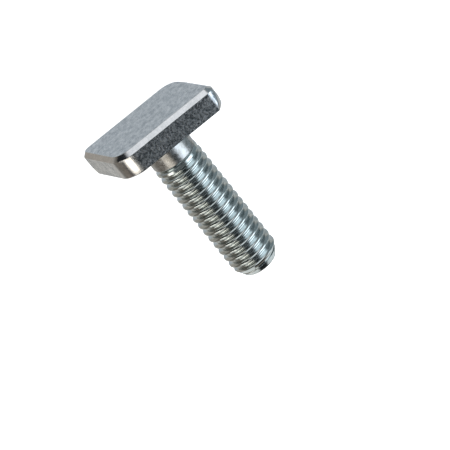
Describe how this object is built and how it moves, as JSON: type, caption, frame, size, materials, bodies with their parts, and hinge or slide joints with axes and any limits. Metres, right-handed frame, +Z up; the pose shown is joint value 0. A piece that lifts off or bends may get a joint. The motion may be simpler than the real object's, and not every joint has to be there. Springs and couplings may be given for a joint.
{
  "type": "t slot bolt",
  "caption": "T slot bolt: a threaded shank with a slab head that drops into a slot and locks across it after a quarter turn.",
  "frame": {"origin": "where the shank's axis meets the bearing face of the head", "axes": "+X along the shank towards its tip, +Y along the head, +Z up, out of one long side of the head; the bolt lies on its other long side"},
  "size_m": [0.0223, 0.0158, 0.0092],
  "materials": {
    "bright_steel": "bright cold-forged and rolled steel, matt on the head and polished on the shank"
  },
  "bodies": {
    "root": {"t_slot_bolt": "bright_steel"}
  },
  "joints": []
}
